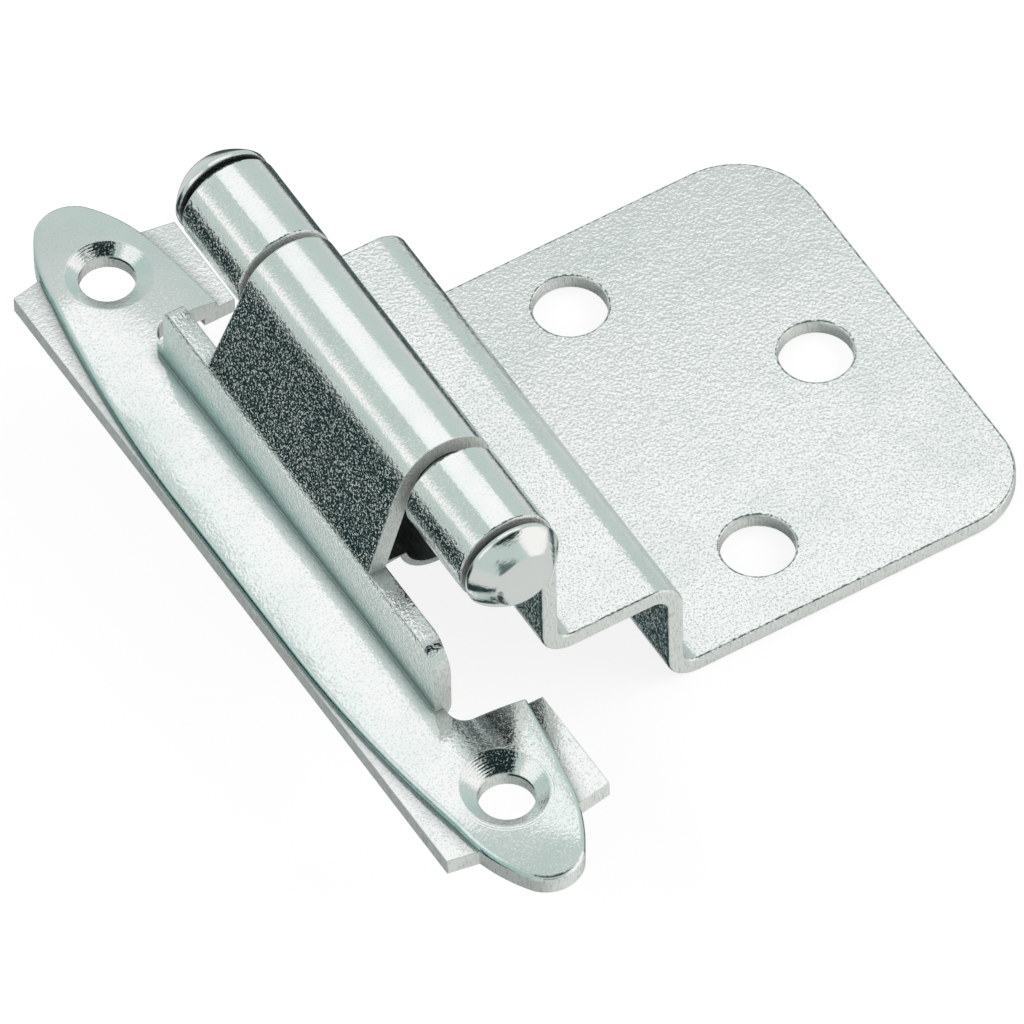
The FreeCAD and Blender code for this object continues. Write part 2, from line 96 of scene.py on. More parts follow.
@dataclass(frozen=True)
class Pattern:
    """A cloudy pattern: the size of its spots in metres, its finer layers and its stretch."""

    grain: float
    detail: float = 2.0
    rough: float = 0.5
    stretch: tuple[float, float, float] = (1.0, 1.0, 1.0)


class Graph:
    """The nodes of a material or of the world, added and joined by short calls."""

    def __init__(self, tree: bpy.types.NodeTree, material: Optional[bpy.types.Material] = None) -> None:
        """Starts with no nodes.

        Args:
            tree: The tree to fill, which is cleared.
            material: The material that owns the tree, where one does.
        """
        self.tree = tree
        self.tree.nodes.clear()
        self.material = material
        self.coordinates: Optional[bpy.types.Node] = None

    @classmethod
    def of_material(cls, name: str) -> "Graph":
        """Starts a new material.

        Args:
            name: The material's name.

        Returns:
            Its graph.
        """
        material = bpy.data.materials.new(name)
        material.use_nodes = True
        return cls(material.node_tree, material)

    def add(self, kind: str, **settings: object) -> bpy.types.Node:
        """Adds a node.

        Args:
            kind: The node's type name.
            settings: Attributes to set on it.

        Returns:
            The new node.
        """
        node = self.tree.nodes.new(kind)
        for name, value in settings.items():
            setattr(node, name, value)
        return node

    def feed(self, socket: Socket, source: object) -> None:
        """Joins a socket to another, or sets its value.

        Args:
            socket: The input to fill.
            source: An output socket, or a plain value.
        """
        if isinstance(source, Socket):
            self.tree.links.new(source, socket)
        else:
            socket.default_value = source

    def tint(self, socket: Socket, shade: Shade) -> None:
        """Joins a colour socket to another, or sets its colour."""
        self.feed(socket, (*shade, 1.0) if isinstance(shade, tuple) else shade)

    def calc(self, operation: str, first: Value, second: Value = 0.0) -> Socket:
        """Works out a value.

        Args:
            operation: The operation's name.
            first: The first value or socket.
            second: The second value or socket.

        Returns:
            The result's socket.
        """
        node = self.add("ShaderNodeMath", operation=operation)
        self.feed(node.inputs[0], first)
        self.feed(node.inputs[1], second)
        return node.outputs[0]

    def reach(self, first: Value, second: Value) -> Socket:
        """How far a point is from an axis.

        Args:
            first: Its distance along one direction across the axis.
            second: Its distance along the other.

        Returns:
            The result's socket.
        """
        squares = [self.calc("MULTIPLY", part, part) for part in (first, second)]
        return self.calc("SQRT", self.calc("ADD", *squares))

    def lookup(self, name: str) -> Socket:
        """One output of the piece's own coordinates, whose node is added once.

        Args:
            name: The output's name.

        Returns:
            The output's socket.
        """
        if self.coordinates is None:
            self.coordinates = self.add("ShaderNodeTexCoord")
        return self.coordinates.outputs[name]

    def split(self, vector: Socket) -> list[Socket]:
        """The three parts of a vector.

        Args:
            vector: The vector's socket.

        Returns:
            A socket for each part.
        """
        node = self.add("ShaderNodeSeparateXYZ")
        self.feed(node.inputs[0], vector)
        return list(node.outputs)

    def place(self) -> list[Socket]:
        """Where the point is on the piece, in metres, wherever the piece has moved."""
        return self.split(self.lookup("Object"))

    def facing(self) -> list[Socket]:
        """The three parts of the surface's direction, each without its sign."""
        return [self.calc("ABSOLUTE", part) for part in self.split(self.lookup("Normal"))]

    def flat_facing(self) -> list[Socket]:
        """The same three parts for the face alone, with no smoothing from face to face.

        Returns:
            A socket for each part.
        """
        turned = self.add("ShaderNodeVectorTransform", vector_type="NORMAL", convert_from="WORLD",
                          convert_to="OBJECT")
        self.feed(turned.inputs[0], self.add("ShaderNodeNewGeometry").outputs["True Normal"])
        return [self.calc("ABSOLUTE", part) for part in self.split(turned.outputs[0])]

    def ramp(self, source: Value, span: Span, start: float = 0.0, end: float = 1.0) -> Socket:
        """Turns a range of values smoothly into another.

        Args:
            source: The value or socket to read.
            span: The values that give start and end.
            start: The first result.
            end: The last result.

        Returns:
            The result's socket.
        """
        node = self.add("ShaderNodeMapRange", interpolation_type="SMOOTHSTEP")
        for socket, value in zip(node.inputs, (source, *span, start, end)):
            self.feed(socket, value)
        return node.outputs[0]

    def noise(self, pattern: Pattern) -> Socket:
        """Lays a cloudy pattern on the piece.

        Args:
            pattern: The pattern.

        Returns:
            Its socket, from 0 to 1.
        """
        mapping = self.add("ShaderNodeMapping")
        self.feed(mapping.inputs["Vector"], self.lookup("Object"))
        self.feed(mapping.inputs["Scale"], pattern.stretch)
        node = self.add("ShaderNodeTexNoise")
        self.feed(node.inputs["Vector"], mapping.outputs[0])
        self.feed(node.inputs["Scale"], 1 / pattern.grain)
        self.feed(node.inputs["Detail"], pattern.detail)
        self.feed(node.inputs["Roughness"], pattern.rough)
        return node.outputs["Fac"]

    def mix(self, amount: Value, first: Value, second: Value) -> Socket:
        """Mixes two values.

        Args:
            amount: How much of the second there is.
            first: The first value or socket.
            second: The second value or socket.

        Returns:
            The mixed value's socket.
        """
        node = self.add("ShaderNodeMix", data_type="FLOAT")
        numbers = [item for item in node.inputs if item.type == "VALUE"]
        for socket, source in zip(numbers, (amount, first, second)):
            self.feed(socket, source)
        return node.outputs[0]

    def blend(self, amount: Value, first: Shade, second: Shade) -> Socket:
        """Mixes two colours.

        Args:
            amount: How much of the second there is.
            first: The first colour or socket.
            second: The second colour or socket.

        Returns:
            The mixed colour's socket.
        """
        node = self.add("ShaderNodeMix", data_type="RGBA")
        self.feed(node.inputs["Factor"], amount)
        colours = [item for item in node.inputs if item.type == "RGBA"]
        for socket, shade in zip(colours, (first, second)):
            self.tint(socket, shade)
        return [item for item in node.outputs if item.type == "RGBA"][0]

    def bump(self, height: Value, depth: float, below: Optional[Socket] = None,
             strength: Value = 1.0) -> Socket:
        """Raises the surface by a pattern.

        Args:
            height: The pattern, from 0 to 1.
            depth: How high its top stands, in metres.
            below: The surface direction that it is laid on.
            strength: How much of it is kept.

        Returns:
            The new surface direction's socket.
        """
        node = self.add("ShaderNodeBump")
        self.feed(node.inputs["Distance"], depth)
        self.feed(node.inputs["Strength"], strength)
        self.feed(node.inputs["Height"], height)
        if below is not None:
            self.feed(node.inputs["Normal"], below)
        return node.outputs[0]

    def rounded(self, radius: float) -> Socket:
        """The surface direction with its sharp edges eased.

        Args:
            radius: How far the easing reaches, in metres.

        Returns:
            The eased direction's socket.
        """
        node = self.add("ShaderNodeBevel", samples=EDGE_SAMPLES)
        self.feed(node.inputs["Radius"], radius)
        return node.outputs[0]

    def crevice(self, reach: float) -> Socket:
        """How open the surface is around a point.

        Args:
            reach: How far off something still counts, in metres.

        Returns:
            A socket that is 1 in the open and 0 deep in a corner.
        """
        node = self.add("ShaderNodeAmbientOcclusion", samples=CORNER_SAMPLES)
        self.feed(node.inputs["Distance"], reach)
        return node.outputs["AO"]

    def for_camera(self, others: Socket, camera: Socket, share: float = 1.0) -> Socket:
        """Keeps one shader for the camera and gives another to all other rays.

        Args:
            others: The shader for all other rays.
            camera: The shader for the camera.
            share: How much of its own shader the camera sees.

        Returns:
            The mixed shader's socket.
        """
        path = self.add("ShaderNodeLightPath")
        mixed = self.add("ShaderNodeMixShader")
        self.feed(mixed.inputs[0], self.calc("MULTIPLY", path.outputs["Is Camera Ray"], share))
        self.feed(mixed.inputs[1], others)
        self.feed(mixed.inputs[2], camera)
        return mixed.outputs[0]

    def metal(self, shade: Shade, roughness: Value, surface: Socket,
              clean: Value = 1.0) -> bpy.types.Material:
        """Ends the material as a metal.

        Args:
            shade: The metal's colour or its socket.
            roughness: The roughness or its socket.
            surface: The surface direction's socket.
            clean: How much it mirrors as bare metal; the rest scatters as torn metal does.

        Returns:
            The finished material.
        """
        shader = self.add("ShaderNodeBsdfPrincipled")
        self.feed(shader.inputs["Metallic"], clean)
        self.tint(shader.inputs["Base Color"], shade)
        self.feed(shader.inputs["Roughness"], roughness)
        self.feed(shader.inputs["Normal"], surface)
        output = self.add("ShaderNodeOutputMaterial")
        self.feed(output.inputs["Surface"], shader.outputs[0])
        return self.material


@dataclass(frozen=True)
class Seams:
    """Places on the sheet-metal pieces that the finish follows, in metres."""

    pin_x: float
    pin_z: float
    barrel: float
    sheet_top: float = 0.0
    plate_start: float = 0.0
    dome_top: float = 0.0
    screw_row: float = 0.0
    sink_from: float = 0.0
    sink_to: float = 0.0


@dataclass(frozen=True)
class CreviceShade:
    """Painted shade: darkness laid deep in corners and gaps, as far as they are closed in."""

    colour: Colour
    reach: float
    opening: Span
    depth: float

    def mask(self, graph: Graph) -> Socket:
        """Where the painted shade lies, from 0 to its depth."""
        return graph.ramp(graph.crevice(self.reach), self.opening, self.depth, 0.0)


@dataclass(frozen=True)
class FootShade:
    """Painted shade and reflection: a deeper teal laid along the foot of the neck's wall, in the concave
    bend.
    """

    # the painted shade's teal
    colour: Colour = (0.5, 0.74, 0.72)
    depth: float = 0.9
    below: float = 0.6 * MM
    above: float = 1.9 * MM
    climb: float = 0.035
    wander: float = 1.2 * MM
    cloud: Pattern = Pattern(3.0 * MM)
    wall: Span = Span(0.4, 0.8)

    def mask(self, graph: Graph, foot: float) -> Socket:
        """Where the painted shade shows.

        Args:
            graph: The material being made.
            foot: The height of the wall's foot.

        Returns:
            A socket from 0 to the shade's depth.
        """
        across, _, _ = graph.facing()
        _, y, z = graph.place()
        wander = graph.calc("MULTIPLY", graph.noise(self.cloud), self.wander)
        climb = graph.calc("MULTIPLY", y, self.climb)
        height = graph.calc("SUBTRACT", graph.calc("SUBTRACT", z, climb), wander)
        low = graph.ramp(height, Span(foot - self.below, foot + self.above), self.depth, 0.0)
        return graph.calc("MULTIPLY", low, graph.ramp(across, self.wall))


@dataclass(frozen=True)
class RimLine:
    """The broken dark line where the leaf's face turns over into its sheared edge."""

    depth: float = 0.8
    turned: Span = Span(0.86, 0.9)
    level: Span = Span(0.985, 0.995)
    end: Span = Span(0.08, 0.15)
    breaks: Pattern = Pattern(0.35 * MM)
    broken: Span = Span(0.44, 0.56)

    def mask(self, graph: Graph, plate_start: float) -> Socket:
        """Where the line shows.

        Args:
            graph: The material being made.
            plate_start: How far across the plate begins, past which its outer rim is sheared too.

        Returns:
            A socket from 0 to the line's depth.
        """
        _, along, up = graph.flat_facing()
        x, _, _ = graph.place()
        rim = graph.calc("MULTIPLY", graph.ramp(up, self.turned), graph.ramp(up, self.level, 1.0, 0.0))
        edges = graph.calc("MAXIMUM", graph.ramp(along, self.end),
                           graph.calc("GREATER_THAN", x, plate_start))
        shown = graph.ramp(graph.noise(self.breaks), self.broken, 0.0, self.depth)
        return graph.calc("MULTIPLY", graph.calc("MULTIPLY", rim, edges), shown)


@dataclass(frozen=True)
class TurningRings:
    """Turning marks in the two screw seats."""

    pitch: float = 0.19 * MM
    depth: float = 0.0016 * MM
    lead: float = 0.15 * MM
    fade: float = 0.1 * MM

    def lay(self, graph: Graph, surface: Socket, seams: Seams) -> Socket:
        """Adds the marks to the surface.

        Args:
            graph: The material being made.
            surface: The surface direction that they are laid on.
            seams: The places that the finish follows.

        Returns:
            The new surface direction's socket.
        """
        x, y, _ = graph.place()
        along = graph.calc("SUBTRACT", graph.calc("ABSOLUTE", y), seams.screw_row)
        reach = graph.reach(x, along)
        turns = graph.calc("SINE", graph.calc("MULTIPLY", reach, 2 * math.pi / self.pitch))
        inside = graph.ramp(reach, Span(seams.sink_from, seams.sink_from + self.lead))
        outside = graph.ramp(reach, Span(seams.sink_to - self.fade, seams.sink_to + self.fade), 1.0, 0.0)
        return graph.bump(turns, self.depth, surface, graph.calc("MULTIPLY", inside, outside))


@dataclass(frozen=True)
class PlatedSheet:
    """Bright zinc plating over pressed sheet steel, with the sheet's grain."""

    colour: Colour = (0.94, 0.945, 0.94)
    shaded: Colour = (0.87, 0.895, 0.89)
    cloud: Pattern = Pattern(5.0 * MM, detail=3.0)
    shade_span: Span = Span(0.4, 0.75)
    gloss: float = 0.075
    dull: float = 0.12
    satin_span: Span = Span(0.3, 0.75)

    cut_colour: Colour = (0.86, 0.86, 0.84)
    cut_dark: Colour = (0.62, 0.63, 0.61)
    cut_rough: float = 0.48
    cut_clean: float = 0.78
    # how much of the painted corner shade stays on the sheared edges
    cut_crevice_shade: float = 0.12
    shear: Pattern = Pattern(0.12 * MM, stretch=(1.0, 1.0, 0.18))
    shear_span: Span = Span(0.5, 0.75)
    shear_depth: float = 0.06 * MM
    shear_strength: float = 0.5

    peel: Pattern = Pattern(0.8 * MM)
    peel_depth: float = 0.02 * MM
    grain: Pattern = Pattern(0.24 * MM, detail=1.0)
    grain_depth: float = 0.04 * MM
    pits: Pattern = Pattern(0.16 * MM, rough=0.6)
    pit_span: Span = Span(0.57, 0.7)
    pit_depth: float = 0.034 * MM
    specks: Pattern = Pattern(0.14 * MM, rough=0.7)
    speck_span: Span = Span(0.62, 0.7)
    speck_depth: float = 0.55

    quiet: float = 0.2
    slanted_grain: float = 0.8
    level_grain: float = 0.6
    past_barrel: Span = Span(0.05 * MM, 0.3 * MM)
    past_dome: float = 0.6 * MM
    end_facing: Span = Span(0.75, 0.92)
    upright_facing: Span = Span(0.35, 0.6)
    slanted_facing: Span = Span(0.52, 0.7)
    level_facing: Span = Span(0.9, 0.98)

    edge: float = 0.16 * MM
    # painted shade: near-black teal laid deep in corners and in the gaps between knuckles
    crevice_shade: CreviceShade = CreviceShade(colour=(0.05, 0.075, 0.075), reach=1.1 * MM, opening=Span(0.35, 0.85), depth=0.95)
    # painted teal shade and reflection at the foot of the neck's wall
    foot_shade: FootShade = FootShade()
    rim_line: RimLine = RimLine()
    rings: TurningRings = TurningRings()

    def cut_mask(self, graph: Graph, cut: Cut, seams: Seams) -> Socket:
        """Where the sheared edges of the sheet show.

        Args:
            graph: The material being made.
            cut: The piece's kind.
            seams: The places that the finish follows.

        Returns:
            A socket that is 1 on a sheared edge.
        """
        _, along, up = graph.facing()
        x, _, z = graph.place()
        ends = graph.ramp(along, self.end_facing)
        upright = graph.ramp(up, self.upright_facing, 1.0, 0.0)
        if cut is Cut.LEAF:
            zone = graph.calc("GREATER_THAN", x, seams.plate_start)
        else:
            zone = graph.calc("LESS_THAN", z, seams.sheet_top)
        return graph.calc("MAXIMUM", ends, graph.calc("MULTIPLY", zone, upright))

    def grain_strength(self, graph: Graph, cut: Cut, seams: Seams) -> Socket:
        """How strongly the grain shows: little where forming has polished the sheet.

        Args:
            graph: The material being made.
            cut: The piece's kind.
            seams: The places that the finish follows.

        Returns:
            A socket from 0 to 1.
        """
        x, _, z = graph.place()
        _, _, up = graph.facing()
        reach = graph.reach(graph.calc("SUBTRACT", x, seams.pin_x), graph.calc("SUBTRACT", z, seams.pin_z))
        rolled = Span(*(seams.barrel + past for past in self.past_barrel))
        strength = graph.calc("MAXIMUM", graph.ramp(reach, rolled, self.quiet, 1.0),
                              graph.ramp(up, self.slanted_facing, self.slanted_grain, self.quiet))
        level = graph.ramp(up, self.level_facing, 1.0, self.level_grain)
        strength = graph.calc("MULTIPLY", strength, level)
        if cut is Cut.WING:
            dome = Span(seams.dome_top, seams.dome_top + self.past_dome)
            strength = graph.calc("MINIMUM", strength, graph.ramp(z, dome, self.quiet, 1.0))
        return strength

    def paint(self, graph: Graph, cut: Cut, seams: Seams, mask: Socket, cloud: Socket,
              shear: Socket) -> Socket:
        """Makes the colour: plating with its shades and specks, sheared metal, painted teal shade at the
        neck's foot and painted shade in corners and gaps.

        Args:
            graph: The material being made.
            cut: The piece's kind.
            seams: The places that the finish follows.
            mask: Where the sheared edges show.
            cloud: The plating's slow pattern.
            shear: The sheared edges' streaks.

        Returns:
            The colour's socket.
        """
        plated = graph.blend(graph.ramp(cloud, self.shade_span), self.colour, self.shaded)
        if cut is Cut.WING:
            # painted teal shade and reflection along the foot of the neck's wall
            foot_shading = self.foot_shade.mask(graph, seams.dome_top)
            plated = graph.blend(foot_shading, plated, self.foot_shade.colour)
        specks = graph.ramp(graph.noise(self.specks), self.speck_span, 0.0, self.speck_depth)
        sheared = graph.blend(graph.ramp(shear, self.shear_span), self.cut_colour, self.cut_dark)
        shade = graph.blend(mask, graph.blend(specks, plated, self.cut_dark), sheared)
        # painted shade in corners and gaps, mostly kept off the sheared edges
        kept = graph.ramp(mask, WHOLE, 1.0, self.cut_crevice_shade)
        shade = graph.blend(graph.calc("MULTIPLY", self.crevice_shade.mask(graph), kept), shade, self.crevice_shade.colour)
        if cut is Cut.LEAF:
            shade = graph.blend(self.rim_line.mask(graph, seams.plate_start), shade, self.crevice_shade.colour)
        return shade

    def emboss(self, graph: Graph, cut: Cut, seams: Seams, mask: Socket, shear: Socket) -> Socket:
        """Makes the relief: the sheet's waves, grain and pits, and the marks of its tools.

        Args:
            graph: The material being made.
            cut: The piece's kind.
            seams: The places that the finish follows.
            mask: Where the sheared edges show.
            shear: The sheared edges' streaks.

        Returns:
            The surface direction's socket.
        """
        strength = self.grain_strength(graph, cut, seams)
        pits = graph.ramp(graph.noise(self.pits), self.pit_span)
        surface = graph.rounded(self.edge) if cut is Cut.WING else None
        surface = graph.bump(graph.noise(self.peel), self.peel_depth, surface, strength)
        surface = graph.bump(graph.noise(self.grain), self.grain_depth, surface, strength)
        surface = graph.bump(pits, self.pit_depth, surface, strength)
        torn = graph.calc("MULTIPLY", mask, self.shear_strength)
        surface = graph.bump(shear, self.shear_depth, surface, torn)
        if cut is Cut.WING:
            surface = self.rings.lay(graph, surface, seams)
        return surface

    def make(self, name: str, cut: Cut, seams: Seams) -> bpy.types.Material:
        """Makes the finish for one piece.

        Args:
            name: The material's name.
            cut: The piece's kind.
            seams: The places that the finish follows.

        Returns:
            The material.
        """
        graph = Graph.of_material(name)
        mask = self.cut_mask(graph, cut, seams)
        cloud = graph.noise(self.cloud)
        shear = graph.noise(self.shear)
        shade = self.paint(graph, cut, seams, mask, cloud, shear)
        surface = self.emboss(graph, cut, seams, mask, shear)
        satin = graph.ramp(cloud, self.satin_span, self.gloss, self.dull)
        rough = graph.mix(mask, satin, self.cut_rough)
        return graph.metal(shade, rough, surface, graph.ramp(mask, WHOLE, 1.0, self.cut_clean))


@dataclass(frozen=True)
class TurnedBar:
    """Bright steel bar with lathe marks round its axis."""

    colour: Colour = (0.92, 0.93, 0.92)
    gloss: float = 0.08
    dull: float = 0.16
    cloud: Pattern = Pattern(2.2 * MM, detail=3.0)
    satin_span: Span = Span(0.35, 0.7)
    marks: Pattern = Pattern(0.11 * MM, stretch=(0.12, 1.0, 0.12))
    pits: Pattern = Pattern(0.25 * MM, detail=3.0)
    depth: float = 0.012 * MM
    edge: float = 0.12 * MM
    # painted shade: near black in the grooves behind the heads and in the gaps
    crevice_shade: CreviceShade = CreviceShade(colour=(0.04, 0.05, 0.05), reach=0.9 * MM, opening=Span(0.45, 0.95), depth=0.97)

    def make(self, name: str) -> bpy.types.Material:
        """Makes the finish.

        Args:
            name: The material's name.

        Returns:
            The material.
        """
        graph = Graph.of_material(name)
        # painted shade laid into the grooves and gaps
        shade = graph.blend(self.crevice_shade.mask(graph), self.colour, self.crevice_shade.colour)
        surface = graph.rounded(self.edge)
        for pattern in (self.marks, self.pits):
            surface = graph.bump(graph.noise(pattern), self.depth, surface)
        return graph.metal(
            shade, graph.ramp(graph.noise(self.cloud), self.satin_span, self.gloss, self.dull), surface)


@dataclass(frozen=True)
class SpringStrip:
    """Hardened strip with the drawing marks that run along the pin."""

    colour: Colour = (0.5, 0.53, 0.52)
    dark: Colour = (0.35, 0.371, 0.364)
    gloss: float = 0.34
    dull: float = 0.46
    cloud: Pattern = Pattern(1.6 * MM)
    satin_span: Span = Span(0.3, 0.7)
    streaks: Pattern = Pattern(0.16 * MM, detail=3.0, stretch=(1.0, 0.08, 1.0))
    streak_span: Span = Span(0.35, 0.7)
    streak_depth: float = 0.004 * MM

    def make(self, name: str) -> bpy.types.Material:
        """Makes the finish.

        Args:
            name: The material's name.

        Returns:
            The material.
        """
        graph = Graph.of_material(name)
        streaks = graph.noise(self.streaks)
        shade = graph.blend(graph.ramp(streaks, self.streak_span), self.colour, self.dark)
        surface = graph.bump(streaks, self.streak_depth)
        return graph.metal(
            shade, graph.ramp(graph.noise(self.cloud), self.satin_span, self.gloss, self.dull), surface)


@dataclass(frozen=True)
class WhiteFloor:
    """Pale paper that the camera sees as nearly white, with the shadow kept."""

    colour: Colour = (0.9, 0.9, 0.9)
    white: float = 0.86

    def make(self, name: str) -> bpy.types.Material:
        """Makes the finish.

        Args:
            name: The material's name.

        Returns:
            The material.
        """
        graph = Graph.of_material(name)
        paper = graph.add("ShaderNodeBsdfDiffuse")
        graph.tint(paper.inputs["Color"], self.colour)
        glow = graph.add("ShaderNodeEmission")
        graph.feed(glow.inputs["Strength"], 1.0)
        output = graph.add("ShaderNodeOutputMaterial")
        graph.feed(output.inputs["Surface"],
                   graph.for_camera(paper.outputs[0], glow.outputs[0], self.white))
        return graph.material


@dataclass(frozen=True)
class Easing:
    """How a mesh's sharp edges are rounded over; angles are in degrees."""

    width: float
    steps: int = 3
    sharp: float = 40.0
    level: float = 0.3
    merge: float = 0.002 * MM
    roundness: float = 0.5

    def round_over(self, name: str, source: bpy.types.Mesh) -> bpy.types.Mesh:
        """Copies a mesh and rounds the copy's sharp edges.

        Args:
            name: The new mesh's name.
            source: The mesh to copy.

        Returns:
            The new mesh.
        """
        work = bmesh.new()
        work.from_mesh(source)
        bmesh.ops.remove_doubles(work, verts=work.verts, dist=self.merge)
        bmesh.ops.dissolve_limit(work, angle_limit=math.radians(self.level), verts=work.verts,
                                 edges=work.edges)
        bmesh.ops.recalc_face_normals(work, faces=work.faces)
        sharp = [edge for edge in work.edges
                 if len(edge.link_faces) == 2 and edge.calc_face_angle() > math.radians(self.sharp)]
        bmesh.ops.bevel(work, geom=sharp, offset=self.width, offset_type="OFFSET", segments=self.steps,
                        profile=self.roundness, affect="EDGES", loop_slide=True)
        for face in work.faces:
            face.smooth = True
        mesh = bpy.data.meshes.new(name)
        work.to_mesh(mesh)
        work.free()
        return mesh


def skinned(name: str, rings: list[list[Point]]) -> bpy.types.Mesh:
    """A closed mesh stretched over a row of rings that have equally many points.

    Args:
        name: The mesh's name.
        rings: The rings, from one end to the other.

    Returns:
        The mesh, with smooth faces.
    """
    count = len(rings[0])
    faces = []
    for ring in range(len(rings) - 1):
        first, second = ring * count, (ring + 1) * count
        for side in range(count):
            after = (side + 1) % count
            faces.append((first + side, first + after, second + after, second + side))
    last = (len(rings) - 1) * count
    faces.append(tuple(reversed(range(count))))
    faces.append(tuple(range(last, last + count)))
    mesh = bpy.data.meshes.new(name)
    mesh.from_pydata([point for ring in rings for point in ring], [], faces)
    mesh.polygons.foreach_set("use_smooth", [True] * len(faces))
    return mesh


def pin_axis() -> Vector:
    """The middle of the pin, on its axis."""
    low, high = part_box("hinge_pin")
    return (low + high) / 2


@dataclass
class FrameWing:
    """Frame wing: flange, raised oval, neck and middle knuckle."""

    node: str = "frame_wing"
    sheet: float = 1.35 * MM
    crown: float = 1.5 * MM
    neck_foot: float = 0.3 * MM
    screw_spacing: float = 54.3 * MM
    hole: float = 4.1 * MM
    sink: float = 7.0 * MM
    barrel: float = 3.8 * MM
    finish: PlatedSheet = field(default_factory=PlatedSheet)

    def build(self) -> bpy.types.Object:
        """Dresses the wing, whose own mesh stays.

        Returns:
            The wing.
        """
        pin_x, _, pin_z = pin_axis()
        seams = Seams(
            pin_x, pin_z, self.barrel, sheet_top=self.sheet,
            dome_top=self.sheet + self.crown + self.neck_foot,
            screw_row=self.screw_spacing / 2, sink_from=self.hole / 2, sink_to=self.sink / 2)
        material = self.finish.make("wing_finish", Cut.WING, seams)
        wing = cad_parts[self.node]
        for slot in wing.material_slots:
            slot.material = material
        return wing


@dataclass
class FinerPiece:
    """A sub-assembly with a finer mesh in place of its node."""

    node: str
    body: str
    slot: str

    def stand_in(self, name: str, mesh: bpy.types.Mesh, material: bpy.types.Material) -> bpy.types.Object:
        """Adds the finer mesh in place of the node.

        Args:
            name: The new piece's name.
            mesh: Its mesh.
            material: Its finish.

        Returns:
            The new piece.
        """
        mesh.materials.append(material)
        piece = bpy.data.objects.new(name, mesh)
        bpy.context.scene.collection.objects.link(piece)
        weighted = piece.modifiers.new("even_shading", "WEIGHTED_NORMAL")
        weighted.keep_sharp = True
        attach(piece, self.body)
        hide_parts(self.node)
        return piece


@dataclass
class DoorLeaf(FinerPiece):
    """Door leaf: plate, step and the two end knuckles."""

    node: str = "door_leaf"
    body: str = "door_side"
    slot: str = "plated_steel"
    plate_run: float = 26 * MM
    barrel: float = 3.8 * MM
    easing: Easing = Easing(0.2 * MM)
    finish: PlatedSheet = field(default_factory=PlatedSheet)

    def build(self) -> bpy.types.Object:
        """Rounds the leaf's edges and dresses it; its outer rim is sheared past the step.

        Returns:
            The new leaf.
        """
        pin_x, _, pin_z = pin_axis()
        _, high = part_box(self.node)
        seams = Seams(pin_x, pin_z, self.barrel, plate_start=high.x - self.plate_run)
        mesh = self.easing.round_over("pressed_leaf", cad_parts[self.node].data)
        mesh.materials.clear()
        return self.stand_in("pressed_leaf", mesh, self.finish.make("leaf_finish", Cut.LEAF, seams))


@dataclass
class HingePin(FinerPiece):
    """Pin turned from bar, with a formed head at each end and a flat for the spring."""

    node: str = "hinge_pin"
    body: str = "door_side"
    slot: str = "bright_pin"
    radius: float = 2.38 * MM
    neck: float = 3.0 * MM
    head: float = 3.72 * MM
    face: float = 2.3 * MM
    face_ring: float = 1.265 * MM
    groove: float = 0.4 * MM
    gap: float = 0.05 * MM
    rim: float = 0.4 * MM
    lead: float = 0.14 * MM
    lead_bulge: float = 0.3
    dome: float = 1.55 * MM
    cone: float = 1.7
    flat_drop: float = 1.75 * MM
    flat_near: float = -9.35 * MM
    flat_far: float = 11.5 * MM
    sides: int = 144
    arc_steps: int = 14
    crease: float = 38.0
    finish: TurnedBar = field(default_factory=TurnedBar)

    def head_outline(self, end: float) -> list[tuple[float, float]]:
        """The outline of one head, from the pin's body out to its face.

        Args:
            end: How far the face is from the pin's middle.

        Returns:
            Pairs of a distance along the pin and a radius.
        """
        shoulder = end - self.dome
        inner = shoulder - self.rim
        bulge = self.lead * self.lead_bulge
        points = [(inner - self.groove, self.radius), (inner - self.groove, self.neck),
                  (inner, self.neck), (inner, self.head - self.lead),
                  (inner + bulge, self.head - bulge), (inner + self.lead, self.head)]
        for step in range(self.arc_steps + 1):
            turn = math.pi / 2 * step / self.arc_steps
            along = shoulder + self.dome * math.sin(turn) ** self.cone
            points.append((along, self.face + (self.head - self.face) * math.cos(turn) ** self.cone))
        points.append((end, self.face_ring))
        return points

    def outline(self, half: float, middle: float) -> list[tuple[float, float]]:
        """The whole outline, with a ring on each side of the flat's two ends.

        Args:
            half: Half the pin's length.
            middle: Where the pin's middle is along Y.

        Returns:
            Pairs of a distance along the pin and a radius.
        """
        far = self.head_outline(half)
        near = [(-along, radius) for along, radius in reversed(far)]
        ends = [(end - middle + side * self.gap / 2, self.radius)
                for end in (self.flat_near, self.flat_far) for side in (-1, 1)]
        return near + ends + far

    def ring(self, axis: Vector, along: float, radius: float) -> list[Point]:
        """The points round the pin at one place, cut off below where the flat is.

        Args:
            axis: The pin's middle.
            along: How far the ring is from it along the pin.
            radius: The ring's radius.

        Returns:
            The points.
        """
        flat = self.flat_near < along + axis.y < self.flat_far
        points = []
        for side in range(self.sides):
            turn = 2 * math.pi * side / self.sides
            up = radius * math.cos(turn)
            if flat:
                up = max(up, -self.flat_drop)
            points.append((axis.x + radius * math.sin(turn), axis.y + along, axis.z + up))
        return points

    def build(self) -> bpy.types.Object:
        """Turns the pin and dresses it.

        Returns:
            The new pin.
        """
        low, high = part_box(self.node)
        axis = pin_axis()
        outline = self.outline((high.y - low.y) / 2, axis.y)
        mesh = skinned("turned_pin", [self.ring(axis, along, radius) for along, radius in outline])
        mesh.set_sharp_from_angle(angle=math.radians(self.crease))
        return self.stand_in("turned_pin", mesh, self.finish.make("pin_finish"))


class Station(NamedTuple):
    """A place on a bent strip, seen along the pin, and the strip's heading there in radians."""

    x: float
    z: float
    heading: float


